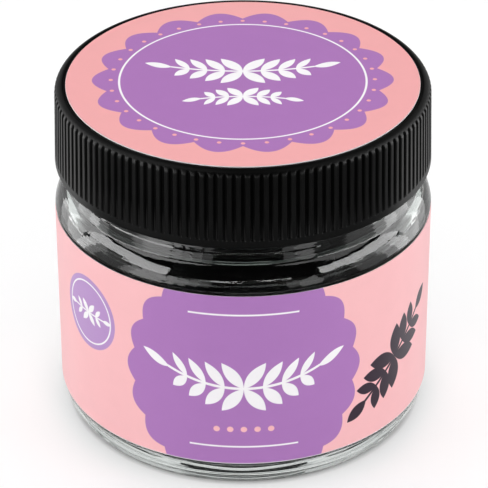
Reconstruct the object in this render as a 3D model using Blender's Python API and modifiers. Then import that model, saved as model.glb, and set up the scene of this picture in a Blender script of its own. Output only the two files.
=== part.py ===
"""A squat clear-glass jar of dried beans with a ribbed screw lid and two paper labels.

Metres, +Z up. The origin is the centre of the base, the jar's axis is +Z, and the label's front faces -Y.
"""
import math
import random

import bmesh
import bpy
from mathutils import Matrix, Vector

# Driving dimensions
TOTAL_HEIGHT = 0.0695
LID_RADIUS = 0.0364
LID_TOP_RADIUS = 0.0360
LID_BOTTOM = 0.05356
NECK_RADIUS = 0.03315
MOUTH_RADIUS = 0.0299
RIM_HEIGHT = 0.0659
THREAD_PITCH = 0.0254 / 6
THREAD_TURNS = 1.125
FLUTES = 134
FIT_GAP = 0.0003
ROUND_STEPS = 48

# Glass
LIP_ROUND = 0.0007
NECK_FOOT = 0.0518
SHOULDER_CENTRE_R = 0.0320
SHOULDER_LOW = 0.0425
SHOULDER_WIDTH = 0.00484
SHOULDER_HEIGHT = 0.0070
SHOULDER_START = 0.472
PANEL_RADIUS = 0.0361
PANEL_TOP = 0.0439
PANEL_BOTTOM = 0.0055
PANEL_STEP = 0.0003
HEEL_RADIUS = 0.0363
HEEL_TOP = 0.0052
HEEL_LOW = 0.0026
HEEL_ROUND = 0.0065
FOOT_RADIUS = 0.0346
FOOT_TOP = 0.0019
FOOT_ROUND = 0.0009
FOOT_INNER_RADIUS = 0.0310
FOOT_SLOPE = 0.0015
PUSH_UP = 0.0012
FLOOR_TOP = 0.0052
INNER_RADIUS = 0.0335
INNER_HEEL_ROUND = 0.0040
INNER_SHOULDER_LOW = 0.0420
INNER_SHOULDER_HEIGHT = 0.0055
JAR_THREAD_START = 0.05844
JAR_THREAD_CREST = 0.0343
JAR_THREAD_BASE_WIDTH = 0.0024
JAR_THREAD_CREST_WIDTH = 0.0010

# Lid
RIM_ROUND = 0.0016
RIM_TOP = 0.0694
RECESS_RADIUS = 0.0341
RECESS_FLOOR = 0.0689
PLATE_UNDERSIDE = 0.0674
LID_BORE = 0.03475
SKIRT_ROUND = 0.0003
FLUTE_BOTTOM = 0.0551
FLUTE_RADIUS = 0.00052
FLUTE_OUTSET = 0.00010
FLUTE_SIDES = 8
LID_THREAD_DROP = 0.00162
LID_THREAD_CREST = 0.0336
LID_THREAD_BASE_WIDTH = 0.0018
LID_THREAD_CREST_WIDTH = 0.0007
THREAD_SINK = 0.0003
THREAD_FADE = math.radians(24)
LINER_RADIUS = 0.0340
LINER_THICKNESS = 0.0009

# Labels
WRAP_LOW = 0.00587
WRAP_HIGH = 0.04348
WRAP_RADIUS = 0.0367
WRAP_THICKNESS = 0.0003
WRAP_GAP_STEPS = 2
LID_LABEL_RADIUS = 0.03384
LID_LABEL_THICKNESS = 0.0003

# Filling
BEAN_LENGTH = 0.0275
BEAN_WIDTH = 0.0120
BEAN_THICKNESS = 0.0088
BEAN_BEND = 0.10
BEAN_SEGMENTS = 8
BEAN_RINGS = 6
BEAN_SEED = 7
WALL_CLEARANCE = 0.0004
CORE_RADIUS = 0.0245
CORE_LOW = 0.0085
CORE_HIGH = 0.0335
FILL_HIGH = 0.0395

# Base colour, roughness, metallic and alpha of each material
FINISHES = {
    "clear_glass": ((0.86, 0.90, 0.88), 0.03, 0.0, 0.35),
    "pink_paper": ((0.97, 0.53, 0.55), 0.45, 0.0, 1.0),
    "black_plastic": ((0.010, 0.010, 0.011), 0.32, 0.0, 1.0),
    "white_foam": ((0.85, 0.85, 0.83), 0.70, 0.0, 1.0),
    "dried_bean": ((0.030, 0.022, 0.022), 0.55, 0.0, 1.0),
}


def clear_scene():
    for obj in list(bpy.data.objects):
        bpy.data.objects.remove(obj, do_unlink=True)


def collection(name):
    made = bpy.data.collections.new(name)
    bpy.context.scene.collection.children.link(made)
    return made


def finish(obj, name):
    """Gives the object its own Principled material."""
    colour, roughness, metallic, alpha = FINISHES[name]
    mat = bpy.data.materials.new(f"{obj.name}_{name}")
    mat.use_nodes = True
    shader = mat.node_tree.nodes["Principled BSDF"]
    shader.inputs["Base Color"].default_value = (*colour, 1.0)
    shader.inputs["Roughness"].default_value = roughness
    shader.inputs["Metallic"].default_value = metallic
    shader.inputs["Alpha"].default_value = alpha
    obj.data.materials.clear()
    obj.data.materials.append(mat)


def mesh_object(name, bm, home):
    """Turns a bmesh into an object in the given collection."""
    mesh = bpy.data.meshes.new(name)
    bm.to_mesh(mesh)
    bm.free()
    obj = bpy.data.objects.new(name, mesh)
    home.objects.link(obj)
    return obj


def arc(centre_r, centre_z, radius_r, radius_z, start, end, count):
    """Points of an elliptical arc in the profile plane, its angles in degrees from the outward direction."""
    angles = [math.radians(start + (end - start) * i / (count - 1)) for i in range(count)]
    return [(centre_r + radius_r * math.cos(a), centre_z + radius_z * math.sin(a)) for a in angles]


def turned(name, profile, steps, home, sweep=math.tau):
    """An object turned about +Z from a profile of (radius, height) points, running down its outer side."""
    bm = bmesh.new()
    points = [bm.verts.new((r, 0.0, z)) for r, z in profile]
    for a, b in zip(points, points[1:]):
        bm.edges.new((a, b))
    obj = mesh_object(name, bm, home)
    screw = obj.modifiers.new("turn", "SCREW")
    screw.angle = sweep
    screw.steps = screw.render_steps = steps
    screw.use_merge_vertices = True
    screw.merge_threshold = 0.00001
    screw.use_smooth_shade = False
    return obj


def boolean(obj, operation, other=None, others=None):
    modifier = obj.modifiers.new(operation.lower(), "BOOLEAN")
    modifier.operation = operation
    modifier.solver = "EXACT"
    if others:
        modifier.operand_type = "COLLECTION"
        modifier.collection = others
    else:
        modifier.object = other
    return modifier


def as_guide(obj):
    """Marks a cutter or an operand, which isn't part of the jar."""
    obj.hide_render = True
    obj.display_type = "WIRE"
    return obj


def thread_ridge(name, root, crest, root_width, crest_width, start_height, home):
    """A right-hand helical ridge from just inside the wall at root out to crest, its ends fading into the wall."""
    sink = math.copysign(THREAD_SINK, crest - root)
    foot = root - sink
    outline = [(foot, -root_width / 2), (crest, -crest_width / 2), (crest, crest_width / 2), (foot, root_width / 2)]
    steps = round(ROUND_STEPS * THREAD_TURNS)
    sweep = math.tau * THREAD_TURNS
    bm = bmesh.new()
    bm.faces.new([bm.verts.new((r, 0.0, start_height + z)) for r, z in outline])
    bmesh.ops.spin(bm, geom=bm.verts[:] + bm.edges[:] + bm.faces[:], axis=(0, 0, 1), cent=(0, 0, 0),
                   dvec=(0, 0, THREAD_PITCH * THREAD_TURNS / steps), angle=sweep, steps=steps)
    for vert in bm.verts:
        radius = math.hypot(vert.co.x, vert.co.y)
        if abs(radius - foot) < THREAD_SINK:
            continue
        turn = math.atan2(vert.co.y, vert.co.x) % math.tau
        climbed = (vert.co.z - start_height) / THREAD_PITCH * math.tau
        along = turn + round((climbed - turn) / math.tau) * math.tau
        shown = min(1.0, max(0.0, along / THREAD_FADE), max(0.0, (sweep - along) / THREAD_FADE))
        buried = root - sink / 2
        wanted = buried + (crest - buried) * shown
        vert.co.x *= wanted / radius
        vert.co.y *= wanted / radius
    bmesh.ops.recalc_face_normals(bm, faces=bm.faces)
    return as_guide(mesh_object(name, bm, home))


def jar_profile():
    lip = LIP_ROUND
    inside = [(0.0, FLOOR_TOP)]
    inside += arc(INNER_RADIUS - INNER_HEEL_ROUND, FLOOR_TOP + INNER_HEEL_ROUND,
                  INNER_HEEL_ROUND, INNER_HEEL_ROUND, -90, 0, 5)
    inside += arc(MOUTH_RADIUS, INNER_SHOULDER_LOW, INNER_RADIUS - MOUTH_RADIUS, INNER_SHOULDER_HEIGHT, 0, 90, 5)
    rim = arc(MOUTH_RADIUS + lip, RIM_HEIGHT - lip, lip, lip, 180, 90, 3)
    rim += arc(NECK_RADIUS - lip, RIM_HEIGHT - lip, lip, lip, 90, 0, 3)
    bead_low = PANEL_TOP + PANEL_STEP
    shoulder_end = math.degrees(math.acos((bead_low - SHOULDER_LOW) / SHOULDER_HEIGHT))
    shoulder = arc(SHOULDER_CENTRE_R, SHOULDER_LOW, SHOULDER_WIDTH, SHOULDER_HEIGHT,
                   90 - math.degrees(SHOULDER_START), 90 - shoulder_end, 6)
    outside = [(NECK_RADIUS, NECK_FOOT)] + shoulder
    outside += [(PANEL_RADIUS, PANEL_TOP), (PANEL_RADIUS, PANEL_BOTTOM)]
    heel_end = math.degrees(math.asin((HEEL_TOP - HEEL_LOW) / HEEL_ROUND))
    heel = arc(HEEL_RADIUS - HEEL_ROUND, HEEL_TOP, HEEL_ROUND, HEEL_ROUND, 0, -heel_end, 4)
    foot = [(FOOT_RADIUS, FOOT_TOP)] + arc(FOOT_RADIUS - FOOT_ROUND, FOOT_ROUND, FOOT_ROUND, FOOT_ROUND, 0, -90, 4)
    under = [(FOOT_INNER_RADIUS, 0.0), (FOOT_INNER_RADIUS - FOOT_SLOPE, PUSH_UP / 2), (0.0, PUSH_UP)]
    return inside + rim + outside + heel + foot + under


def make_jar(home, guides):
    jar = turned("glass_jar", jar_profile(), ROUND_STEPS, home)
    thread = thread_ridge("jar_thread", NECK_RADIUS, JAR_THREAD_CREST, JAR_THREAD_BASE_WIDTH,
                          JAR_THREAD_CREST_WIDTH, JAR_THREAD_START, guides)
    boolean(jar, "UNION", thread)
    finish(jar, "clear_glass")
    return jar


def lid_profile():
    outside = [(0.0, RECESS_FLOOR), (RECESS_RADIUS, RECESS_FLOOR), (RECESS_RADIUS, RIM_TOP)]
    outside += arc(LID_TOP_RADIUS - RIM_ROUND, RIM_TOP - RIM_ROUND, RIM_ROUND, RIM_ROUND, 90, 0, 4)
    outside += [(LID_RADIUS, LID_BOTTOM + SKIRT_ROUND), (LID_RADIUS - SKIRT_ROUND, LID_BOTTOM), (0.0, LID_BOTTOM)]
    return outside


def lid_bore_profile():
    mouth = [(LID_BORE + SKIRT_ROUND, LID_BOTTOM - SKIRT_ROUND), (0.0, LID_BOTTOM - SKIRT_ROUND)]
    return [(0.0, PLATE_UNDERSIDE), (LID_BORE, PLATE_UNDERSIDE), (LID_BORE, LID_BOTTOM + SKIRT_ROUND)] + mouth


def flute_cutters(home):
    """One prism a flute along the lid's draft, which leaves a hollow flute with a round top at the lid's rim."""
    bm = bmesh.new()
    height = TOTAL_HEIGHT - FLUTE_BOTTOM
    middle = FLUTE_BOTTOM + height / 2
    draft = (LID_RADIUS - LID_TOP_RADIUS) / (RIM_TOP - RIM_ROUND - LID_BOTTOM)
    centre_r = LID_TOP_RADIUS + draft * (RIM_TOP - RIM_ROUND - middle) + FLUTE_OUTSET
    for i in range(FLUTES):
        turn = math.tau * (i + 0.5) / FLUTES
        place = (Matrix.Rotation(turn, 4, "Z") @ Matrix.Translation((centre_r, 0, middle))
                 @ Matrix.Rotation(-math.atan(draft), 4, "Y"))
        bmesh.ops.create_cone(bm, cap_ends=True, segments=FLUTE_SIDES, radius1=FLUTE_RADIUS,
                              radius2=FLUTE_RADIUS, depth=height, matrix=place)
    return as_guide(mesh_object("flute_cutters", bm, home))


def make_lid(home, guides):
    lid = turned("lid_shell", lid_profile(), FLUTES, home)
    thread = thread_ridge("lid_thread", LID_BORE, LID_THREAD_CREST, LID_THREAD_BASE_WIDTH,
                          LID_THREAD_CREST_WIDTH, JAR_THREAD_START - LID_THREAD_DROP, guides)
    boolean(lid, "DIFFERENCE", as_guide(turned("lid_bore", lid_bore_profile(), ROUND_STEPS, guides)))
    boolean(lid, "DIFFERENCE", flute_cutters(guides))
    boolean(lid, "UNION", thread)
    finish(lid, "black_plastic")
    return lid


def disc(name, radius, low, thickness, material, home):
    """A flat round piece, one turned slab."""
    profile = [(0.0, low + thickness), (radius, low + thickness), (radius, low), (0.0, low)]
    obj = turned(name, profile, ROUND_STEPS, home)
    finish(obj, material)
    return obj


def make_wrap_label(home):
    """The paper round the body, whose ends stop short of each other at the back."""
    steps = ROUND_STEPS - WRAP_GAP_STEPS
    sweep = math.tau * steps / ROUND_STEPS
    label = turned("wrap_label", [(WRAP_RADIUS, WRAP_HIGH), (WRAP_RADIUS, WRAP_LOW)], steps, home, sweep)
    label.rotation_euler.z = math.pi / 2 + (math.tau - sweep) / 2
    wall = label.modifiers.new("paper", "SOLIDIFY")
    wall.thickness = WRAP_THICKNESS
    wall.offset = -1.0
    finish(label, "pink_paper")
    return label


def cavity_radius(height):
    """The jar's inner radius at a height over its floor, up to the shoulder."""
    up = height - FLOOR_TOP
    if up >= INNER_HEEL_ROUND:
        return INNER_RADIUS
    fall = INNER_HEEL_ROUND - max(up, 0.0)
    return INNER_RADIUS - INNER_HEEL_ROUND + math.sqrt(INNER_HEEL_ROUND ** 2 - fall ** 2)


def press_inside(point):
    """Moves a point of the filling off the glass."""
    point.z = min(max(point.z, FLOOR_TOP + WALL_CLEARANCE), FILL_HIGH)
    limit = cavity_radius(point.z - WALL_CLEARANCE) - WALL_CLEARANCE
    radius = math.hypot(point.x, point.y)
    if radius > limit:
        point.x *= limit / radius
        point.y *= limit / radius


def bean(name, place, home):
    """One bean: an ellipsoid bent along its length, at a place given by a matrix."""
    bm = bmesh.new()
    bmesh.ops.create_uvsphere(bm, u_segments=BEAN_SEGMENTS, v_segments=BEAN_RINGS, radius=1.0,
                              matrix=Matrix.Rotation(math.pi / 2, 4, "Y"))
    for vert in bm.verts:
        x, y, z = vert.co
        shaped = Vector((x * BEAN_LENGTH / 2, y * BEAN_THICKNESS / 2, z * BEAN_WIDTH / 2))
        shaped.y -= BEAN_BEND * BEAN_LENGTH * x * x
        vert.co = place @ shaped
        press_inside(vert.co)
    return mesh_object(name, bm, home)


def bean_places():
    """Where each bean lies: a layer on the floor, four rings along the wall and a layer on top."""
    draw = random.Random(BEAN_SEED)

    def lean(most):
        return math.radians(draw.uniform(-most, most))

    places = []
    for layer, (height, ring_r) in enumerate([(0.0102, 0.0150), (0.0346, 0.0150)]):
        for i in range(5):
            turn = math.tau * (i + 0.5 * layer) / 5 + lean(12)
            places.append(Matrix.Rotation(turn, 4, "Z") @ Matrix.Translation((ring_r, 0, height))
                          @ Matrix.Rotation(math.pi / 2 + lean(50), 4, "Z") @ Matrix.Rotation(math.pi / 2, 4, "X"))
        places.append(Matrix.Translation((0, 0, height)) @ Matrix.Rotation(lean(90), 4, "Z")
                      @ Matrix.Rotation(math.pi / 2, 4, "X"))
    wall_r = INNER_RADIUS - WALL_CLEARANCE - BEAN_THICKNESS / 2
    for level in range(4):
        height = 0.0110 + 0.0082 * level
        for i in range(6):
            turn = math.tau * (i + 0.5 * (level % 2)) / 6 + lean(6)
            places.append(Matrix.Rotation(turn, 4, "Z") @ Matrix.Translation((wall_r, 0, height))
                          @ Matrix.Rotation(lean(26), 4, "X") @ Matrix.Rotation(-math.pi / 2, 4, "Z"))
    return places


def outer_shell(bm):
    """Keeps the largest body of a mesh, so that hollows sealed by fusing are filled and scraps are dropped."""
    left = set(bm.faces)
    bodies = []
    while left:
        start = left.pop()
        body = [start]
        queue = [start]
        while queue:
            for edge in queue.pop().edges:
                for face in edge.link_faces:
                    if face in left:
                        left.remove(face)
                        body.append(face)
                        queue.append(face)
        bodies.append(body)
    bodies.sort(key=len)
    scraps = [face for body in bodies[:-1] for face in body]
    bmesh.ops.delete(bm, geom=scraps, context="FACES")


def make_beans(home, guides):
    """The filling: beans standing out of a core, fused with it into one body."""
    bm = bmesh.new()
    place = Matrix.Translation((0, 0, (CORE_LOW + CORE_HIGH) / 2))
    bmesh.ops.create_cone(bm, cap_ends=True, segments=24, radius1=CORE_RADIUS, radius2=CORE_RADIUS,
                          depth=CORE_HIGH - CORE_LOW, matrix=place)
    core = mesh_object("core", bm, home)
    pieces = bpy.data.collections.new("bean_pieces")
    guides.children.link(pieces)
    for i, place in enumerate(bean_places()):
        as_guide(bean(f"bean_{i}", place, pieces))
    boolean(core, "UNION", others=pieces)
    bpy.context.view_layer.update()
    evaluated = core.evaluated_get(bpy.context.evaluated_depsgraph_get())
    fused = bmesh.new()
    fused.from_mesh(evaluated.to_mesh())
    evaluated.to_mesh_clear()
    outer_shell(fused)
    bpy.data.objects.remove(core, do_unlink=True)
    for piece in list(pieces.objects):
        bpy.data.objects.remove(piece, do_unlink=True)
    bpy.data.collections.remove(pieces)
    beans = mesh_object("tonka_beans", fused, home)
    finish(beans, "dried_bean")
    return beans


def main():
    clear_scene()
    home = collection("screw_lid_jar")
    guides = collection("cutters")
    make_jar(home, guides)
    make_wrap_label(home)
    make_beans(home, guides)
    make_lid(home, guides)
    disc("lid_liner", LINER_RADIUS, PLATE_UNDERSIDE - FIT_GAP - LINER_THICKNESS, LINER_THICKNESS, "white_foam", home)
    disc("lid_label", LID_LABEL_RADIUS, TOTAL_HEIGHT - LID_LABEL_THICKNESS, LID_LABEL_THICKNESS, "pink_paper", home)


main()
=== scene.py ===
"""Looks of a squat clear-glass jar of dried beans with a ribbed screw lid and two paper labels.

Metres, +Z up. The jar's axis is +Z and the front of the wrap label faces -Y, as in the solids.
"""
import math
import random

import bmesh
import bpy
from mathutils import Matrix, Quaternion, Vector, noise


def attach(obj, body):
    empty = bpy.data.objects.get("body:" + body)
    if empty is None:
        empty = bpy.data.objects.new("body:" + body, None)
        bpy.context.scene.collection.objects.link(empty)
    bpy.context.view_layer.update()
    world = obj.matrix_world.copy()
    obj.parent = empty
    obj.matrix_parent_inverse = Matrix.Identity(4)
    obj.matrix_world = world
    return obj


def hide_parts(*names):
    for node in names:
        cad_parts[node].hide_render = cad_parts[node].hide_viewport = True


# Driving dimensions, as in the solids
TOTAL_HEIGHT = 0.0695
LID_RADIUS = 0.0364
LID_TOP_RADIUS = 0.0360
LID_BOTTOM = 0.05356
NECK_RADIUS = 0.03315
MOUTH_RADIUS = 0.0299
RIM_HEIGHT = 0.0659
THREAD_PITCH = 0.0254 / 6
THREAD_TURNS = 1.125
FLUTES = 134

# Glass
LIP_ROUND = 0.0007
NECK_FOOT = 0.0518
SHOULDER_CENTRE_R = 0.0320
SHOULDER_LOW = 0.0425
SHOULDER_WIDTH = 0.00484
SHOULDER_HEIGHT = 0.0070
SHOULDER_START = 0.472
PANEL_RADIUS = 0.0361
PANEL_TOP = 0.0439
PANEL_BOTTOM = 0.0055
PANEL_STEP = 0.0003
HEEL_RADIUS = 0.0363
HEEL_TOP = 0.0052
HEEL_LOW = 0.0026
HEEL_ROUND = 0.0065
FOOT_RADIUS = 0.0346
FOOT_TOP = 0.0019
FOOT_ROUND = 0.0009
FOOT_INNER_RADIUS = 0.0310
PUSH_UP = 0.0012
FLOOR_TOP = 0.0052
INNER_RADIUS = 0.0335
INNER_HEEL_ROUND = 0.0040
INNER_SHOULDER_LOW = 0.0420
INNER_SHOULDER_HEIGHT = 0.0055
JAR_THREAD_START = 0.05844
JAR_THREAD_CREST = 0.0343
JAR_THREAD_BASE_WIDTH = 0.0024
JAR_THREAD_CREST_WIDTH = 0.0010
GLASS_STEPS = 10
PLAIN_FLOOR_RADIUS = 0.02
SWELLS_ROUND = 1.6
SWELLS_UP = 90
SWELL_DEPTH = 0.00012
# Height above which the glass is tinted dark: painted shade for what is seen through the shoulder and neck
SHADE_TINT_FROM = 0.0470
SEAM_HALF_WIDTH = 0.00022

# Lid
RIM_ROUND = 0.0016
RIM_TOP = 0.0694
RECESS_RADIUS = 0.0341
RECESS_FLOOR = 0.0689
PLATE_UNDERSIDE = 0.0674
LID_BORE = 0.03475
SKIRT_ROUND = 0.0003
FLUTE_BOTTOM = 0.0551
FLUTE_RADIUS = 0.00052
FLUTE_OUTSET = 0.00010
FLUTE_RUN_OUT = 0.0002
STEPS_A_FLUTE = 10
LID_THREAD_DROP = 0.00162
LID_THREAD_CREST = 0.0336
LID_THREAD_BASE_WIDTH = 0.0018
LID_THREAD_CREST_WIDTH = 0.0007
THREAD_SINK = 0.0003
THREAD_FADE = math.radians(24)
RIDGE_DEPTH = 0.00022
LINER_RADIUS = 0.0340
LINER_LOW = 0.0662
LINER_TOP = 0.0671

# Labels
WRAP_LOW = 0.00587
WRAP_HIGH = 0.04348
WRAP_RADIUS = 0.0367
WRAP_GAP = math.radians(15)
WRAP_STEPS = 230
PAPER_THICKNESS = 0.0003
LID_LABEL_RADIUS = 0.03384

# Filling
BEAN_LENGTH = 0.0275
BEAN_WIDTH = 0.0120
BEAN_THICKNESS = 0.0088
BEAN_BEND = 0.10
BEAN_SEED = 7
WALL_CLEARANCE = 0.0004
CORE_RADIUS = 0.0245
CORE_LOW = 0.0085
CORE_HIGH = 0.0335
FILL_HIGH = 0.0395

# Prints: the soft edge that all of them have, and the leaves of their sprigs
PRINT_EDGE = 0.00012
LEAF_SHRINK = 0.42
TIP_SIZE = 0.8
FAR_OUTSIDE = 0.01

# Sprigs: leaf spacing, leaf length, leaf width, lean of the leaves, pairs a side, half the stem's width and bow
LAUREL = (0.0036, 0.0068, 0.00125, math.radians(52), 4, 0.00028, 16.0)
BADGE_SPRIG = (0.0022, 0.0030, 0.0006, math.radians(50), 2, 0.00016, 0.0)
TWIG = (0.0034, 0.0072, 0.0017, math.radians(48), 3, 0.0003, 0.0)
UPPER_SPRIG = (0.0034, 0.0066, 0.00125, math.radians(50), 4, 0.00026, 10.0)
LOWER_SPRIG = (0.0026, 0.0046, 0.00095, math.radians(50), 3, 0.00022, -14.0)

# Wrap print, in distance round the paper from its front and height from its middle
CARTOUCHE_HALF_WIDTH = 0.0222
CARTOUCHE_HALF_HEIGHT = 0.0240
CARTOUCHE_LOBES = 20
CARTOUCHE_LOBE = 0.065
RULE_HEIGHT = 0.0148
RULE_HALF_WIDTH = 0.0105
RULE_HALF_THICKNESS = 0.00018
LAUREL_HEIGHT = -0.0015
DOT_SPACING = 0.0026
DOT_HEIGHT = -0.0108
DOT_RADIUS = 0.00062
BADGE_PLACE = (-0.0345, 0.0062)
BADGE_RADIUS = 0.0078
BADGE_RING = 0.0066
BADGE_RING_HALF_THICKNESS = 0.00016
TWIG_PLACE = (0.0335, -0.0035)
TWIG_LEAN = math.radians(38)
NOTES_START = 0.064
NOTES_HALF_HEIGHT = 0.0155
LINE_SPACING = 0.0031
LINE_HALF_THICKNESS = 0.00012
LINE_MARGIN = 0.004
LINES_HALF_HEIGHT = 0.0120
WHITE_BOTTOM_BAND = 0.00018

# Lid print
MEDALLION_RADIUS = 0.0262
MEDALLION_LOBES = 18
MEDALLION_LOBE = 0.0026
RING_RADIUS = 0.0236
RING_HALF_THICKNESS = 0.0002
BEADS = 36
BEAD_RING = 0.0252
BEAD_RADIUS = 0.00042
UPPER_SPRIG_Y = 0.0035
LOWER_SPRIG_Y = -0.0068

# Print colours, linear
PINK = (0.97, 0.52, 0.54)
LID_PINK = (0.90, 0.42, 0.425)
PURPLE = (0.43, 0.19, 0.51)
LID_PURPLE = (0.42, 0.19, 0.49)
LILAC = (0.49, 0.29, 0.60)
PLUM = (0.045, 0.028, 0.045)
WHITE = (0.95, 0.93, 0.95)
PAPER = (0.93, 0.91, 0.92)

# Upright panels mirrored in the glass, on both sides: front end, back end, low edge, high edge and strength
PANEL_DISTANCE = 1.0
SIDE_PANELS = ((-0.99, 0.27, 0.30, 0.80, 7.5), (0.27, 0.64, -0.3, 0.9, 4.0), (0.64, 1.0, -0.3, 0.9, 2.2),
               (0.27, 1.00, -1.0, -0.3, 1.4))
LEFT_PANELS = ((0.13, 0.27, -0.3, 0.3, 6.0), (-0.02, 0.13, -0.3, 0.3, 2.0), (-0.35, -0.02, -0.3, 0.3, 0.6),
               (-0.50, -0.35, -0.3, 0.3, 2.2), (-0.99, -0.50, -0.3, 0.3, 4.0), (-1.27, -0.99, -0.2, 0.32, 3.4),
               (-1.60, -1.27, -0.2, 0.35, 2.5), (-2.10, -1.60, -0.2, 0.45, 1.6), (-3.00, -2.10, -0.2, 0.6, 0.8))
RIGHT_PANELS = ((0.10, 0.27, -0.3, 0.3, 6.0), (-0.08, 0.10, -0.3, 0.3, 3.0), (-0.45, -0.08, -0.3, 0.3, 0.9),
                (-1.05, -0.45, -0.3, 0.3, 0.2), (-1.60, -1.05, -0.2, 0.35, 1.9), (-2.20, -1.60, -0.2, 0.45, 0.9))
PANEL_LEAN = 0.4

# Camera, fitted to the photo
CAMERA_PLACE = (0.0, -0.46906, 0.3141)
CAMERA_DOWN = math.radians(30.94)
CAMERA_ROLL = -0.003
CAMERA_LENS = 204.18
CAMERA_SHIFT = 0.00135


# Shapes

def arc(centre_r, centre_z, radius_r, radius_z, start, end, count):
    """Points of an elliptical arc in the profile plane, its angles in degrees from the outward direction."""
    angles = [math.radians(start + (end - start) * i / (count - 1)) for i in range(count)]
    return [(centre_r + radius_r * math.cos(a), centre_z + radius_z * math.sin(a)) for a in angles]


def line(start, end, count):
    """Points spread evenly from start to end, both included."""
    return [(start[0] + (end[0] - start[0]) * i / (count - 1), start[1] + (end[1] - start[1]) * i / (count - 1))
            for i in range(count)]


def eased(start, corner, end, count):
    """A soft corner from start to end that leans towards the sharp one."""
    points = []
    for i in range(count):
        t = i / (count - 1)
        a, b, c = (1 - t) ** 2, 2 * t * (1 - t), t * t
        points.append((a * start[0] + b * corner[0] + c * end[0], a * start[1] + b * corner[1] + c * end[1]))
    return points


def turned(profile, sectors, steps):
    """A mesh turned about the jar's axis from a profile of (radius, height) points, in equal sectors of a few steps."""
    bm = bmesh.new()
    points = [bm.verts.new((r, 0.0, z)) for r, z in profile]
    for a, b in zip(points, points[1:]):
        bm.edges.new((a, b))
    sector = math.tau / sectors
    bmesh.ops.spin(bm, geom=bm.verts[:] + bm.edges[:], axis=(0, 0, 1), cent=(0, 0, 0), angle=sector, steps=steps)
    bmesh.ops.spin(bm, geom=bm.verts[:] + bm.edges[:] + bm.faces[:], axis=(0, 0, 1), cent=(0, 0, 0),
                   angle=math.tau - sector, steps=sectors - 1, use_duplicate=True)
    bmesh.ops.remove_doubles(bm, verts=bm.verts, dist=1e-6)
    bmesh.ops.recalc_face_normals(bm, faces=bm.faces)
    return bm


def set_radius(vert, wanted):
    radius = math.hypot(vert.co.x, vert.co.y)
    if radius > 1e-6:
        vert.co.x *= wanted / radius
        vert.co.y *= wanted / radius


def thread_radius(angle, height, wall, crest, base_width, crest_width, start_height):
    """The radius of a wall with a right-hand thread on it, at an angle and a height."""
    sink = math.copysign(THREAD_SINK, crest - wall)
    foot = wall - sink
    sweep = math.tau * THREAD_TURNS
    best = wall
    for lap in range(2):
        along = angle % math.tau + lap * math.tau
        if along > sweep:
            continue
        away = abs(height - start_height - THREAD_PITCH * along / math.tau)
        slope = (base_width / 2 - away) / (base_width / 2 - crest_width / 2)
        shown = min(1.0, along / THREAD_FADE, (sweep - along) / THREAD_FADE)
        top = wall - sink / 2 + (crest - wall + sink / 2) * max(0.0, shown)
        radius = foot + (top - foot) * min(1.0, max(0.0, slope))
        best = max(best, radius) if sink > 0 else min(best, radius)
    return best


def finished(name, bm, material, body, node, sharp=35):
    """Makes the piece from its mesh, with soft shading but for its sharp edges, and ties it to the frame."""
    mesh = bpy.data.meshes.new(name)
    bm.to_mesh(mesh)
    bm.free()
    mesh.shade_smooth()
    mesh.set_sharp_from_angle(angle=math.radians(sharp))
    piece = bpy.data.objects.new(name, mesh)
    bpy.context.scene.collection.objects.link(piece)
    mesh.materials.append(material)
    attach(piece, body)
    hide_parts(node)
    return piece


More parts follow.
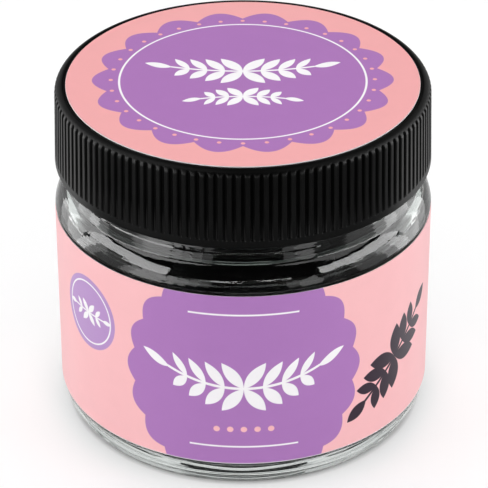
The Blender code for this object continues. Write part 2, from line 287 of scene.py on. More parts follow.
def jar_profile():
    lip = LIP_ROUND
    inside = line((0.0, FLOOR_TOP), (INNER_RADIUS - INNER_HEEL_ROUND, FLOOR_TOP), 12)[:-1]
    inside += arc(INNER_RADIUS - INNER_HEEL_ROUND, FLOOR_TOP + INNER_HEEL_ROUND,
                  INNER_HEEL_ROUND, INNER_HEEL_ROUND, -90, 0, 12)
    inside += line((INNER_RADIUS, FLOOR_TOP + INNER_HEEL_ROUND), (INNER_RADIUS, INNER_SHOULDER_LOW), 10)[1:-1]
    inside += arc(MOUTH_RADIUS, INNER_SHOULDER_LOW, INNER_RADIUS - MOUTH_RADIUS, INNER_SHOULDER_HEIGHT, 0, 78, 14)
    throat = inside.pop()
    inside += eased(throat, (MOUTH_RADIUS, INNER_SHOULDER_LOW + INNER_SHOULDER_HEIGHT),
                    (MOUTH_RADIUS, INNER_SHOULDER_LOW + INNER_SHOULDER_HEIGHT + 0.0012), 6)
    rim = arc(MOUTH_RADIUS + lip, RIM_HEIGHT - lip, lip, lip, 180, 90, 6)
    rim += arc(NECK_RADIUS - lip, RIM_HEIGHT - lip, lip, lip, 90, 0, 6)
    bead_low = PANEL_TOP + PANEL_STEP
    shoulder_end = math.degrees(math.acos((bead_low - SHOULDER_LOW) / SHOULDER_HEIGHT))
    shoulder = arc(SHOULDER_CENTRE_R, SHOULDER_LOW, SHOULDER_WIDTH, SHOULDER_HEIGHT,
                   90 - math.degrees(SHOULDER_START), 90 - shoulder_end, 26)
    cone = line((NECK_RADIUS, NECK_FOOT), shoulder[0], 22)
    neck = line((NECK_RADIUS, RIM_HEIGHT - lip), (NECK_RADIUS, NECK_FOOT + 0.0004), 62)[1:-1]
    neck += eased((NECK_RADIUS, NECK_FOOT + 0.0004), cone[0], cone[3], 6) + cone[4:-1]
    neck += eased(cone[-2], cone[-1], shoulder[1], 5)[1:]
    bead_r, bead_z = shoulder[-1]
    bead = eased(shoulder[-2], (bead_r, bead_z), (PANEL_RADIUS, PANEL_TOP), 5)
    heel = eased((PANEL_RADIUS, PANEL_BOTTOM), (HEEL_RADIUS, PANEL_BOTTOM), (HEEL_RADIUS, HEEL_TOP), 4)
    heel_end = math.degrees(math.asin((HEEL_TOP - HEEL_LOW) / HEEL_ROUND))
    heel += arc(HEEL_RADIUS - HEEL_ROUND, HEEL_TOP, HEEL_ROUND, HEEL_ROUND, 0, -heel_end, 9)[1:]
    heel += eased(heel[-1], (FOOT_RADIUS, FOOT_TOP + 0.0003), (FOOT_RADIUS, FOOT_TOP - 0.0003), 6)[1:]
    heel += arc(FOOT_RADIUS - FOOT_ROUND, FOOT_ROUND, FOOT_ROUND, FOOT_ROUND, 0, -90, 10)
    under = line((FOOT_INNER_RADIUS + 0.0006, 0.0), (FOOT_INNER_RADIUS, 0.0), 2)
    under += eased((FOOT_INNER_RADIUS, 0.0), (FOOT_INNER_RADIUS - 0.0012, 0.0),
                   (FOOT_INNER_RADIUS - 0.0020, PUSH_UP / 2), 5)[1:]
    under += line((FOOT_INNER_RADIUS - 0.0020, PUSH_UP / 2), (0.0, PUSH_UP), 14)[1:]
    return inside + rim + neck + shoulder[2:-2] + bead + heel + under


def make_glass(material):
    bm = turned(jar_profile(), 24, GLASS_STEPS)
    for vert in bm.verts:
        radius = math.hypot(vert.co.x, vert.co.y)
        if radius < PLAIN_FLOOR_RADIUS:
            continue
        height = vert.co.z
        angle = math.atan2(vert.co.y, vert.co.x)
        if abs(radius - NECK_RADIUS) < 1e-6 and height > NECK_FOOT:
            set_radius(vert, thread_radius(angle, height, NECK_RADIUS, JAR_THREAD_CREST, JAR_THREAD_BASE_WIDTH,
                                           JAR_THREAD_CREST_WIDTH, JAR_THREAD_START))
        elif radius < INNER_RADIUS + 1e-6 and FLOOR_TOP + 0.003 < height < RIM_HEIGHT - 0.002:
            around = (math.cos(angle) * SWELLS_ROUND, math.sin(angle) * SWELLS_ROUND)
            swell = noise.noise(Vector((*around, height * SWELLS_UP)))
            set_radius(vert, radius + SWELL_DEPTH * min(0.0, swell - 0.2))
    return finished("glass", bm, material, "jar", "glass_jar", 40)


def skirt_radius(height):
    """The lid's outer radius below its rim, which grows a little downwards."""
    share = (RIM_TOP - RIM_ROUND - height) / (RIM_TOP - RIM_ROUND - LID_BOTTOM)
    return LID_TOP_RADIUS + (LID_RADIUS - LID_TOP_RADIUS) * min(1.0, share)


def lid_profile():
    top = line((0.0, RECESS_FLOOR), (RECESS_RADIUS - 0.0002, RECESS_FLOOR), 4)
    top += eased((RECESS_RADIUS - 0.0002, RECESS_FLOOR), (RECESS_RADIUS, RECESS_FLOOR),
                 (RECESS_RADIUS, RECESS_FLOOR + 0.0002), 3)[1:]
    top += [(RECESS_RADIUS, RIM_TOP - 0.0001)]
    rim = arc(LID_TOP_RADIUS - RIM_ROUND, RIM_TOP - RIM_ROUND, RIM_ROUND, RIM_ROUND, 90, 0, 17)
    heights = [RIM_TOP - RIM_ROUND, 0.0640, 0.0600]
    heights += [FLUTE_BOTTOM + FLUTE_RUN_OUT * i / 5 for i in range(5, -1, -1)] + [LID_BOTTOM + 0.0006]
    skirt = [(skirt_radius(height), height) for height in heights[1:]]
    edge = arc(LID_RADIUS - SKIRT_ROUND, LID_BOTTOM + SKIRT_ROUND, SKIRT_ROUND, SKIRT_ROUND, 0, -90, 4)
    edge += [(LID_BORE + SKIRT_ROUND, LID_BOTTOM), (LID_BORE, LID_BOTTOM + SKIRT_ROUND)]
    bore = line((LID_BORE, LID_BOTTOM + 0.0012), (LID_BORE, PLATE_UNDERSIDE - 0.0006), 5)
    bore += eased((LID_BORE, PLATE_UNDERSIDE - 0.0006), (LID_BORE, PLATE_UNDERSIDE),
                  (LID_BORE - 0.0006, PLATE_UNDERSIDE), 4)[1:]
    return top + rim + skirt + edge + bore + line((LID_BORE - 0.0006, PLATE_UNDERSIDE), (0.0, PLATE_UNDERSIDE), 4)[1:]


def flute_radius(angle, height):
    """How far out the lid's wall reaches at an angle and a height, by the hollow flutes round it."""
    spacing = math.tau / FLUTES
    off = (angle / spacing) % 1.0 - 0.5
    centre = skirt_radius(height) + FLUTE_OUTSET
    across = centre * math.sin(off * spacing)
    if abs(across) >= FLUTE_RADIUS:
        return LID_RADIUS
    return centre * math.cos(off * spacing) - math.sqrt(FLUTE_RADIUS ** 2 - across ** 2)


def lid_thread_mesh():
    """The lid's inner thread: a helical ridge that is sunk a little into the bore."""
    foot = LID_BORE + THREAD_SINK
    start = JAR_THREAD_START - LID_THREAD_DROP
    half_base, half_crest = LID_THREAD_BASE_WIDTH / 2, LID_THREAD_CREST_WIDTH / 2
    outline = [(foot, -half_base), (LID_THREAD_CREST, -half_crest), (LID_THREAD_CREST, half_crest), (foot, half_base)]
    steps = 216
    bm = bmesh.new()
    bm.faces.new([bm.verts.new((r, 0.0, start + z)) for r, z in outline])
    bmesh.ops.spin(bm, geom=bm.verts[:] + bm.edges[:] + bm.faces[:], axis=(0, 0, 1), cent=(0, 0, 0),
                   dvec=(0, 0, THREAD_PITCH * THREAD_TURNS / steps), angle=math.tau * THREAD_TURNS, steps=steps)
    for vert in bm.verts:
        if math.hypot(vert.co.x, vert.co.y) < foot - THREAD_SINK:
            turn = math.atan2(vert.co.y, vert.co.x) % math.tau
            climbed = (vert.co.z - start) / THREAD_PITCH * math.tau
            along = turn + round((climbed - turn) / math.tau) * math.tau
            shown = min(1.0, max(0.0, along / THREAD_FADE), max(0.0, (math.tau * THREAD_TURNS - along) / THREAD_FADE))
            buried = LID_BORE + THREAD_SINK / 2
            set_radius(vert, buried + (LID_THREAD_CREST - buried) * shown)
    bmesh.ops.recalc_face_normals(bm, faces=bm.faces)
    return bm


def make_lid(material):
    bm = turned(lid_profile(), FLUTES, STEPS_A_FLUTE)
    for vert in bm.verts:
        height = vert.co.z
        radius = math.hypot(vert.co.x, vert.co.y)
        if height > FLUTE_BOTTOM and radius > RECESS_RADIUS + 0.0008:
            groove = flute_radius(math.atan2(vert.co.y, vert.co.x), height)
            depth = max(0.0, radius - groove)
            set_radius(vert, radius - depth * min(1.0, ((height - FLUTE_BOTTOM) / FLUTE_RUN_OUT) ** 0.5))
    ridge = bpy.data.meshes.new("lid_thread")
    thread = lid_thread_mesh()
    thread.to_mesh(ridge)
    thread.free()
    bm.from_mesh(ridge)
    bpy.data.meshes.remove(ridge)
    return finished("lid", bm, material, "lid", "lid_shell", 50)


def make_liner(material):
    """The sealing disc, with the ring that the jar's rim has pressed into its underside."""
    dent_r, dent_half, dent = (MOUTH_RADIUS + NECK_RADIUS) / 2, 0.0018, 0.00018
    ring = [(dent_r + dent_half * math.cos(a), LINER_LOW + dent * math.sin(a))
            for a in [math.pi * i / 8 for i in range(9)]]
    edge = 0.00025
    profile = line((0.0, LINER_TOP), (LINER_RADIUS - edge, LINER_TOP), 6)
    profile += arc(LINER_RADIUS - edge, LINER_TOP - edge, edge, edge, 90, 0, 4)[1:]
    profile += arc(LINER_RADIUS - edge, LINER_LOW + edge, edge, edge, 0, -90, 4)
    profile += ring + line((dent_r - dent_half - 0.001, LINER_LOW), (0.0, LINER_LOW), 6)
    return finished("liner", turned(profile, 24, 8), material, "liner", "lid_liner")


def make_wrap_label(material):
    """The paper round the body, open in a narrow gap at the back, with soft corners."""
    inner = WRAP_RADIUS - PAPER_THICKNESS
    edge = 0.00008
    profile = line((inner, WRAP_HIGH - edge), (inner, WRAP_LOW + edge), 12)
    profile += [(inner + edge, WRAP_LOW), (WRAP_RADIUS - edge, WRAP_LOW)]
    profile += line((WRAP_RADIUS, WRAP_LOW + edge), (WRAP_RADIUS, WRAP_HIGH - edge), 12)
    profile += [(WRAP_RADIUS - edge, WRAP_HIGH), (inner + edge, WRAP_HIGH)]
    sweep = math.tau - WRAP_GAP
    bm = bmesh.new()
    bm.faces.new([bm.verts.new((r, 0.0, z)) for r, z in profile])
    bmesh.ops.spin(bm, geom=bm.verts[:] + bm.edges[:] + bm.faces[:], axis=(0, 0, 1), cent=(0, 0, 0),
                   angle=sweep, steps=WRAP_STEPS)
    bmesh.ops.rotate(bm, verts=bm.verts, cent=(0, 0, 0), matrix=Matrix.Rotation(math.pi / 2 + WRAP_GAP / 2, 3, "Z"))
    bmesh.ops.recalc_face_normals(bm, faces=bm.faces)
    return finished("body_label", bm, material, "jar", "wrap_label")


def make_lid_label(material):
    low, edge = TOTAL_HEIGHT - PAPER_THICKNESS, 0.00008
    profile = line((0.0, TOTAL_HEIGHT), (LID_LABEL_RADIUS - edge, TOTAL_HEIGHT), 10)
    profile += [(LID_LABEL_RADIUS, TOTAL_HEIGHT - edge), (LID_LABEL_RADIUS, low + edge), (LID_LABEL_RADIUS - edge, low)]
    profile += line((LID_LABEL_RADIUS - 0.002, low), (0.0, low), 6)
    return finished("top_label", turned(profile, 24, 10), material, "lid", "lid_label")


def cavity_radius(height):
    """The jar's inner radius at a height over its floor, up to the shoulder."""
    up = height - FLOOR_TOP
    if up >= INNER_HEEL_ROUND:
        return INNER_RADIUS
    fall = INNER_HEEL_ROUND - max(up, 0.0)
    return INNER_RADIUS - INNER_HEEL_ROUND + math.sqrt(INNER_HEEL_ROUND ** 2 - fall ** 2)


def press_inside(point):
    """Moves a point of the filling off the glass."""
    point.z = min(max(point.z, FLOOR_TOP + WALL_CLEARANCE), FILL_HIGH)
    limit = cavity_radius(point.z - WALL_CLEARANCE) - WALL_CLEARANCE
    radius = math.hypot(point.x, point.y)
    if radius > limit:
        point.x *= limit / radius
        point.y *= limit / radius


def bean_places():
    """Where each bean lies: a layer on the floor, four rings along the wall and a layer on top."""
    draw = random.Random(BEAN_SEED)

    def lean(most):
        return math.radians(draw.uniform(-most, most))

    places = []
    for layer, (height, ring_r) in enumerate([(0.0102, 0.0150), (0.0346, 0.0150)]):
        for i in range(5):
            turn = math.tau * (i + 0.5 * layer) / 5 + lean(12)
            places.append(Matrix.Rotation(turn, 4, "Z") @ Matrix.Translation((ring_r, 0, height))
                          @ Matrix.Rotation(math.pi / 2 + lean(50), 4, "Z") @ Matrix.Rotation(math.pi / 2, 4, "X"))
        places.append(Matrix.Translation((0, 0, height)) @ Matrix.Rotation(lean(90), 4, "Z")
                      @ Matrix.Rotation(math.pi / 2, 4, "X"))
    wall_r = INNER_RADIUS - WALL_CLEARANCE - BEAN_THICKNESS / 2
    for level in range(4):
        height = 0.0110 + 0.0082 * level
        for i in range(6):
            turn = math.tau * (i + 0.5 * (level % 2)) / 6 + lean(6)
            places.append(Matrix.Rotation(turn, 4, "Z") @ Matrix.Translation((wall_r, 0, height))
                          @ Matrix.Rotation(lean(26), 4, "X") @ Matrix.Rotation(-math.pi / 2, 4, "Z"))
    return places


def shape_bean(verts, number, place):
    """One wrinkled bean from a ball's points: bent along its length, with furrows that run from end to end."""
    for vert in verts:
        x, y, z = vert.co
        round_it = math.hypot(y, z)
        wander = noise.noise(Vector((x * 1.7, number * 7.1, 0.0))) * 0.9
        angle = math.atan2(z, y) + wander
        furrows = noise.noise(Vector((math.cos(angle) * 3.2, math.sin(angle) * 3.2, x * 1.1 + number * 3.7)))
        fine = noise.noise(Vector((math.cos(angle) * 8.0, math.sin(angle) * 8.0, x * 3.4 + number * 1.9)))
        shrink = 1.0 - (0.085 * abs(furrows) + 0.035 * abs(fine)) * min(1.0, round_it * 2.2)
        shaped = Vector((x * BEAN_LENGTH / 2, y * BEAN_THICKNESS / 2 * shrink, z * BEAN_WIDTH / 2 * shrink))
        shaped.y -= BEAN_BEND * BEAN_LENGTH * x * x
        vert.co = place @ shaped
        press_inside(vert.co)


def make_beans(material):
    bm = bmesh.new()
    centre = Matrix.Translation((0, 0, (CORE_LOW + CORE_HIGH) / 2))
    bmesh.ops.create_cone(bm, cap_ends=True, segments=48, radius1=CORE_RADIUS, radius2=CORE_RADIUS,
                          depth=CORE_HIGH - CORE_LOW, matrix=centre)
    ball = bmesh.new()
    bmesh.ops.create_uvsphere(ball, u_segments=44, v_segments=26, radius=1.0,
                              matrix=Matrix.Rotation(math.pi / 2, 4, "Y"))
    bean = bpy.data.meshes.new("bean")
    for number, place in enumerate(bean_places()):
        shaped = ball.copy()
        shape_bean(shaped.verts, number, place)
        shaped.to_mesh(bean)
        shaped.free()
        bm.from_mesh(bean)
    bpy.data.meshes.remove(bean)
    ball.free()
    return finished("beans", bm, material, "jar", "tonka_beans", 60)


# Finishes

class Field:
    """A value that varies over a piece. Arithmetic on it adds the Math nodes for it."""

    def __init__(self, finish, socket):
        self.finish = finish
        self.socket = socket

    def math(self, operation, *values):
        return self.finish.node("Math", {"operation": operation}, values)

    def __add__(self, other):
        return self.math("ADD", self, other)

    def __sub__(self, other):
        return self.math("SUBTRACT", self, other)

    def __rsub__(self, other):
        return self.math("SUBTRACT", other, self)

    def __mul__(self, other):
        return self.math("MULTIPLY", self, other)

    def __truediv__(self, other):
        return self.math("DIVIDE", self, other)

    def __abs__(self):
        return self.math("ABSOLUTE", self)

    def __neg__(self):
        return self.math("MULTIPLY", self, -1.0)

    def below(self, other):
        return self.math("LESS_THAN", self, other)

    def least(self, other):
        return self.math("MINIMUM", self, other)

    def most(self, other):
        return self.math("MAXIMUM", self, other)

    def root(self):
        return self.math("SQRT", self)

    def cosine(self):
        return self.math("COSINE", self)

    def zigzag(self, height):
        """The value folded back and forth between 0 and a height."""
        return self.math("PINGPONG", self, height)

    def turn_from(self, ahead):
        """The angle, from straight ahead, of a place this far to the side and so far ahead."""
        return self.math("ARCTAN2", self, ahead)

    __radd__ = __add__
    __rmul__ = __mul__


class Finish:
    """One piece's material: a Principled shader and the nodes that feed it."""

    def __init__(self, name, constants):
        self.material = bpy.data.materials.new(name)
        self.material.use_nodes = True
        self.tree = self.material.node_tree
        self.shader = self.tree.nodes["Principled BSDF"]
        for socket, value in constants.items():
            self.shader.inputs[socket].default_value = value
        self.place = self.node("TexCoord", output="Object")
        across = self.node("SeparateXYZ", inputs=[self.place])
        self.x = across
        self.y = Field(self, across.socket.node.outputs["Y"])
        self.z = Field(self, across.socket.node.outputs["Z"])

    def node(self, kind, settings=None, inputs=(), output=0):
        """Adds a node, sets it up, and then gives its sockets their values or links."""
        made = self.tree.nodes.new("ShaderNode" + kind)
        for name, value in (settings or {}).items():
            if name == "stops":
                for stop, (position, colour) in zip(made.color_ramp.elements, value):
                    stop.position, stop.color = position, colour
            else:
                setattr(made, name, value)
        for key, value in inputs.items() if isinstance(inputs, dict) else enumerate(inputs):
            self.feed(made.inputs[key], value)
        return Field(self, made.outputs[output])

    def feed(self, socket, value):
        if isinstance(value, Field):
            self.tree.links.new(value.socket, socket)
        elif isinstance(value, tuple) and socket.type == "RGBA":
            socket.default_value = (*value, 1.0)
        else:
            socket.default_value = value

    def off_axis(self):
        """The distance from the jar's axis."""
        return (self.x * self.x + self.y * self.y).root()

    def noise(self, scale, detail=3.0, roughness=0.5, stretch=(1.0, 1.0, 1.0)):
        """Soft random values about 0.5, at a scale in features a metre."""
        where = self.node("Mapping", inputs={"Vector": self.place, "Scale": stretch})
        return self.node("TexNoise", inputs={"Vector": where, "Scale": scale, "Detail": detail, "Roughness": roughness})

    def mix(self, share, first, second):
        """A colour between two colours."""
        return self.node("Mix", {"data_type": "RGBA"}, {0: share, 6: first, 7: second}, 2)

    def shade(self, colour, amount):
        """A colour made lighter or darker by a varying amount about 1."""
        grey = self.node("CombineXYZ", inputs=[amount, amount, amount])
        return self.node("VectorMath", {"operation": "MULTIPLY"}, [colour, grey])

    def within(self, distance, soft):
        """1 where a distance is negative, 0 where it is positive, over a soft edge."""
        return self.node("Math", {"operation": "MULTIPLY_ADD", "use_clamp": True}, [distance, -1.0 / soft, 0.5])

    def bump(self, height, distance, strength=1.0):
        return self.node("Bump", inputs={"Height": height, "Distance": distance, "Strength": strength})

    def coat(self, **sockets):
        """Feeds the shader's own sockets."""
        for name, value in sockets.items():
            self.feed(self.shader.inputs[name.replace("_", " ")], value)
        return self.material


def glass_finish():
    glass = Finish("clear_glass", {"Roughness": 0.0, "IOR": 1.5, "Transmission Weight": 1.0})
    above_label = glass.within(WRAP_HIGH - glass.z, 0.002)
    ripples = glass.noise(30, 3.0, 0.6, (1.0, 1.0, 16.0)) * above_label
    streaks = glass.noise(38, 1.0, 0.4, (1.0, 1.0, 2.4)) + ripples * 0.5
    seam = glass.within(abs(glass.y) - SEAM_HALF_WIDTH, 0.0002)
    height = streaks + seam * 0.12
    tint = glass.mix(glass.noise(30, 1.0), (0.88, 0.93, 0.91), (0.92, 0.95, 0.93))
    # Above the label the glass is tinted dark grey-green: painted shade, which darkens what is seen through the
    # shoulder and neck.
    tint = glass.mix(glass.within(SHADE_TINT_FROM - glass.z, 0.002), tint, (0.28, 0.31, 0.295))
    return glass.coat(Base_Color=tint, Normal=glass.bump(height, 0.0006, 0.4))


def leaf(finish, along, across, length, width):
    """How far outside a leaf a place is: its base at 0 and its tip at length, pointed at both ends."""
    share = along / length
    return abs(across) - share * (1.0 - share) * (4.0 * width)


def sprig(finish, u, v, spacing, length, width, tilt, pairs, stem, bow):
    """A leafy twig, mirrored about u = 0, with paired leaves that point away from its middle. Gives its coverage."""
    u = abs(u)
    v = abs(v - u * u * bow)
    step = u / spacing
    cell = step.math("FLOOR", step)
    ahead = (step - cell) * spacing
    cos, sin = math.cos(tilt), math.sin(tilt)
    nearest = None
    for back in (0, 1):
        from_base = ahead + spacing * back
        size = 1.0 - (cell - back) * (LEAF_SHRINK / pairs)
        along = (from_base * cos + v * sin) / size
        across = (v * cos - from_base * sin) / size
        outside = leaf(finish, along, across, length, width)
        wrong_cell = (cell - (back - 0.5)).below(0.0) + (pairs - 0.5 + back - cell).below(0.0)
        outside = outside + wrong_cell * FAR_OUTSIDE
        nearest = outside if nearest is None else nearest.least(outside)
    tip = leaf(finish, u - spacing * pairs, v, length * TIP_SIZE, width * TIP_SIZE)
    twig = (v - stem).most(u - spacing * pairs - stem)
    return finish.within(nearest.least(tip).least(twig), PRINT_EDGE)


def spot(finish, u, v, centre_u, centre_v, radius):
    """How far outside a round spot a place is."""
    du, dv = u - centre_u, v - centre_v
    return (du * du + dv * dv).root() - radius


def printed(finish, colour, paper_edge, gloss):
    """The printed sheet's last touches: bare paper at its cut edge, faint print mottle and paper grain."""
    mottle = finish.noise(260, 4.0, 0.6)
    grain = finish.noise(5200, 2.0, 0.6)
    colour = finish.mix(paper_edge, colour, PAPER)
    colour = finish.shade(colour, mottle * 0.05 + grain * 0.03 + 0.96)
    rough = mottle * 0.08 + gloss
    return finish.coat(Base_Color=colour, Roughness=rough, Normal=finish.bump(grain, 0.00003, 0.5))


def wrap_finish():
    """Pink ground with a scalloped purple cartouche in front, a white laurel on it and smaller motifs beside it."""
    paper = Finish("wrap_paper", {"Specular IOR Level": 0.35})
    s = paper.x.turn_from(-paper.y) * WRAP_RADIUS
    z = paper.z - (WRAP_LOW + WRAP_HIGH) / 2
    across, up = s / CARTOUCHE_HALF_WIDTH, z / CARTOUCHE_HALF_HEIGHT
    reach = (across * across + up * up).root()
    lobes = abs((up.turn_from(across) * (CARTOUCHE_LOBES / 2)).cosine())
    scallop = (reach - 1.0 - lobes * CARTOUCHE_LOBE) * CARTOUCHE_HALF_WIDTH
    colour = paper.mix(paper.within(scallop, PRINT_EDGE), PINK, PURPLE)
    rule = (abs(abs(z) - RULE_HEIGHT) - RULE_HALF_THICKNESS).most(abs(s) - RULE_HALF_WIDTH)
    laurel = sprig(paper, s, z - LAUREL_HEIGHT, *LAUREL)
    colour = paper.mix(laurel.most(paper.within(rule, PRINT_EDGE)), colour, WHITE)
    dots = None
    for i in range(-2, 3):
        dot = spot(paper, s, z, i * DOT_SPACING, DOT_HEIGHT, DOT_RADIUS)
        dots = dot if dots is None else dots.least(dot)
    colour = paper.mix(paper.within(dots, PRINT_EDGE), colour, PINK)
    colour = paper.mix(paper.within(spot(paper, s, z, *BADGE_PLACE, BADGE_RADIUS), PRINT_EDGE), colour, LILAC)
    ring = abs(spot(paper, s, z, *BADGE_PLACE, BADGE_RING)) - BADGE_RING_HALF_THICKNESS
    colour = paper.mix(paper.within(ring, PRINT_EDGE), colour, WHITE)
    small = sprig(paper, s - BADGE_PLACE[0], z - BADGE_PLACE[1], *BADGE_SPRIG)
    colour = paper.mix(small, colour, WHITE)
    du, dv = s - TWIG_PLACE[0], z - TWIG_PLACE[1]
    cos, sin = math.cos(TWIG_LEAN), math.sin(TWIG_LEAN)
    dark = sprig(paper, du * cos + dv * sin, dv * cos - du * sin, *TWIG)
    colour = paper.mix(dark, colour, PLUM)
    inward = NOTES_START - abs(s)
    notes = inward.most(abs(z) - NOTES_HALF_HEIGHT)
    colour = paper.mix(paper.within(notes, PRINT_EDGE), colour, WHITE)
    lines = abs((z / LINE_SPACING).zigzag(0.5)) * LINE_SPACING - LINE_HALF_THICKNESS
    lines = lines.most(inward + LINE_MARGIN).most(abs(z) - LINES_HALF_HEIGHT)
    colour = paper.mix(paper.within(lines, PRINT_EDGE), colour, PURPLE)
    # A narrow paper-white band runs along the label's bottom edge, and the paper's inner side is paper white too.
    edge = paper.within(paper.z - WRAP_LOW - WHITE_BOTTOM_BAND, 0.0001)
    inner = paper.within(paper.off_axis() - (WRAP_RADIUS - 0.00014), 0.00004)
    return printed(paper, colour, edge.most(inner), 0.40)


def lid_label_finish():
    """Pink ground with a scalloped purple medallion, a thin white ring and crossed white sprigs."""
    paper = Finish("lid_paper", {"Specular IOR Level": 0.05})
    radius = paper.off_axis()
    angle = paper.y.turn_from(paper.x)
    lobes = abs((angle * (MEDALLION_LOBES / 2)).cosine())
    medallion = radius - MEDALLION_RADIUS - lobes * MEDALLION_LOBE
    colour = paper.mix(paper.within(medallion, PRINT_EDGE), LID_PINK, LID_PURPLE)
    ring = abs(radius - RING_RADIUS) - RING_HALF_THICKNESS
    along = (angle * (BEADS / math.tau)).zigzag(0.5) * (math.tau / BEADS * BEAD_RING)
    out = radius - BEAD_RING
    bead = (along * along + out * out).root() - BEAD_RADIUS
    colour = paper.mix(paper.within(bead, PRINT_EDGE), colour, LID_PINK)
    upper = sprig(paper, paper.x, paper.y - UPPER_SPRIG_Y, *UPPER_SPRIG)
    lower = sprig(paper, paper.x, paper.y - LOWER_SPRIG_Y, *LOWER_SPRIG)
    white = upper.most(lower).most(paper.within(ring, PRINT_EDGE))
    colour = paper.mix(white, colour, WHITE)
    edge = paper.within(LID_LABEL_RADIUS - 0.00005 - radius, 0.00005)
    return printed(paper, colour, edge, 0.36)


def lid_finish():
    plastic = Finish("black_plastic", {"Specular IOR Level": 0.07, "Coat Roughness": 0.28})
    cloud = plastic.noise(160, 3.0)
    grain = plastic.noise(3600, 2.0, 0.6)
    slope = (LID_RADIUS - LID_TOP_RADIUS) / (RIM_TOP - RIM_ROUND - LID_BOTTOM)
    skirt = LID_RADIUS - (plastic.z - LID_BOTTOM) * slope
    ridge = plastic.within(skirt - plastic.off_axis() - RIDGE_DEPTH, 0.0002)
    colour = plastic.mix(cloud, (0.0042, 0.0043, 0.0043), (0.0068, 0.0069, 0.0068))
    # Everything set in from the ridges, the groove floors and the rim's top, is painted darker: painted shade in the
    # hollows.
    colour = plastic.mix(ridge, (0.0006, 0.0006, 0.0006), colour)
    rough = cloud * 0.14 + 0.32
    bump = plastic.bump(grain, 0.00004, 0.5)
    return plastic.coat(Base_Color=colour, Roughness=rough, Coat_Weight=ridge * 0.2, Normal=bump)


def liner_finish():
    foam = Finish("foam_liner", {"Specular IOR Level": 0.3})
    cells = foam.node("TexVoronoi", inputs={"Vector": foam.place, "Scale": 2600.0})
    cloud = foam.noise(300, 3.0)
    colour = foam.mix(cloud, (0.80, 0.80, 0.78), (0.88, 0.88, 0.86))
    return foam.coat(Base_Color=colour, Roughness=cloud * 0.1 + 0.62, Normal=foam.bump(cells, 0.00012, 0.6))


def bean_finish():
    skin = Finish("dried_bean", {"Specular IOR Level": 0.4})
    cloud = skin.noise(220, 4.0, 0.6)
    fine = skin.noise(1700, 4.0, 0.65, (1.0, 1.0, 0.45))
    frost = ((fine - 0.60) * 5.0).most(0.0).least(1.0) * cloud
    colour = skin.mix(cloud, (0.010, 0.007, 0.008), (0.030, 0.018, 0.016))
    colour = skin.mix(frost * 0.5, colour, (0.30, 0.27, 0.28))
    return skin.coat(Base_Color=colour, Roughness=cloud * 0.25 + 0.33, Normal=skin.bump(fine, 0.0004, 0.8))


def floor_finish():
    board = Finish("pale_board", {"Roughness": 0.85, "Specular IOR Level": 0.1, "Emission Strength": 0.42})
    cloud = board.noise(6, 2.0)
    # The floor glows evenly to stay bright, but not under the jar's foot: the missing glow there is a painted shadow.
    painted_shadow_under_jar = board.within(board.off_axis() - FOOT_RADIUS, 0.002)
    glow = board.mix(painted_shadow_under_jar, (1.0, 1.0, 1.0), (0.0, 0.0, 0.0))
    return board.coat(Base_Color=board.mix(cloud, (0.59, 0.59, 0.59), (0.61, 0.61, 0.61)), Emission_Color=glow)


# Studio

def make_floor():
    bm = bmesh.new()
    bmesh.ops.create_circle(bm, cap_ends=True, cap_tris=True, segments=96, radius=3.2)
    mesh = bpy.data.meshes.new("floor")
    bm.to_mesh(mesh)
    bm.free()
    floor = bpy.data.objects.new("floor", mesh)
    bpy.context.scene.collection.objects.link(floor)
    mesh.materials.append(floor_finish())
    floor.visible_glossy = False


def soft_light(name, place, target, width, height, strength, shows, lean=0.0):
    """A soft box that lights the scene, is mirrored in it or is seen through the glass, as shows says."""
    light = bpy.data.lights.new(name, "AREA")
    light.shape = "RECTANGLE"
    light.size, light.size_y = width, height
    light.energy = strength * math.pi * width * height
    lamp = bpy.data.objects.new(name, light)
    lamp.location = place
    aim = (Vector(target) - Vector(place)).to_track_quat("-Z", "Y")
    lamp.rotation_euler = (aim @ Quaternion((0.0, 0.0, 1.0), lean)).to_euler()
    lamp.visible_camera = False
    lamp.visible_diffuse = "light" in shows
    lamp.visible_glossy = "mirrored" in shows
    lamp.visible_transmission = "through" in shows
    bpy.context.scene.collection.objects.link(lamp)


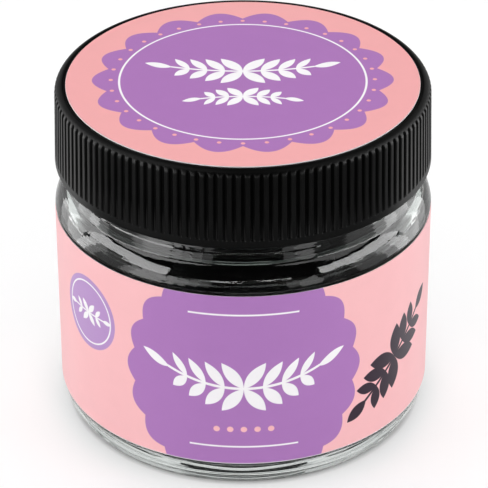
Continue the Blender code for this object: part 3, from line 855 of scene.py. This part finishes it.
def make_studio():
    world = bpy.data.worlds.new("studio")
    world.use_nodes = True
    world.node_tree.nodes["Background"].inputs["Color"].default_value = (0.93, 0.95, 1.0, 1.0)
    world.node_tree.nodes["Background"].inputs["Strength"].default_value = 0.015
    bpy.context.scene.world = world
    bpy.context.scene.view_settings.view_transform = "Standard"
    cycles = bpy.context.scene.cycles
    cycles.max_bounces, cycles.transmission_bounces, cycles.glossy_bounces = 32, 32, 24
    jar = (0.0, 0.0, 0.03)
    soft_light("sky", (0.0, 0.0, 1.3), jar, 1.6, 1.6, 1.1, "light")
    soft_light("fill", (0.0, -1.0, 0.75), jar, 1.2, 0.8, 2.05, "light")
    soft_light("back_fill", (0.0, 1.0, 0.75), jar, 1.2, 0.8, 1.5, "light")
    for side, name, panels, upper in ((-1, "left", LEFT_PANELS, 3.2), (1, "right", RIGHT_PANELS, 1.5)):
        soft_light(name + "_fill", (side * 1.0, -0.15, 0.5), jar, 1.0, 0.8, 2.1, "light")
        for i, (front, back, low, high, strength) in enumerate(panels + SIDE_PANELS):
            middle = ((front + back) / 2, (low + high) / 2)
            lean = side * PANEL_LEAN if i < len(panels) else 0.0
            soft_light(f"{name}_panel_{i}", (side * PANEL_DISTANCE, *middle), (0.0, *middle), back - front,
                       high - low, strength, "mirrored", lean)
        soft_light(name + "_roof", (side * 0.61, 0.0, 0.95), (side * 0.61, 0.0, 0.0), 0.78, 0.75, upper, "mirrored")
        soft_light(name + "_back", (side * 1.24, 1.2, 0.6), (side * 1.24, 0.0, 0.6), 1.92, 1.4, 0.8,
                   "mirrored, through")
        soft_light(name + "_low", (side * 0.62, 1.2, -0.75), (side * 0.62, 0.0, -0.75), 1.16, 1.3, 0.75, "mirrored")
    soft_light("strip", (0.0, -1.13, 0.41), jar, 1.2, 0.04, 6.0, "mirrored")
    soft_light("brow", (0.0, -0.35, 1.1), jar, 1.0, 0.10, 0.4, "mirrored")


def make_camera():
    lens = bpy.data.cameras.new("camera")
    lens.lens = CAMERA_LENS
    lens.sensor_width = 36.0
    lens.shift_x = CAMERA_SHIFT
    camera = bpy.data.objects.new("camera", lens)
    camera.location = CAMERA_PLACE
    tilt = Matrix.Rotation(math.pi / 2 - CAMERA_DOWN, 4, "X") @ Matrix.Rotation(CAMERA_ROLL, 4, "Z")
    camera.rotation_euler = tilt.to_euler()
    bpy.context.scene.collection.objects.link(camera)
    bpy.context.scene.camera = camera


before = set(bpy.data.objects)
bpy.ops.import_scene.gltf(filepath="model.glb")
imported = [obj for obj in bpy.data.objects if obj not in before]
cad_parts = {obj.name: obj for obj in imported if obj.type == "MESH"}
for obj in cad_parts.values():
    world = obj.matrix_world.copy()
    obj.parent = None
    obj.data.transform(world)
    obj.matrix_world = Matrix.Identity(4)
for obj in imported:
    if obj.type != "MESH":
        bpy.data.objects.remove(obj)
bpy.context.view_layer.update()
make_camera()
make_studio()
make_floor()
make_glass(glass_finish())
make_wrap_label(wrap_finish())
make_beans(bean_finish())
make_lid(lid_finish())
make_liner(liner_finish())
make_lid_label(lid_label_finish())
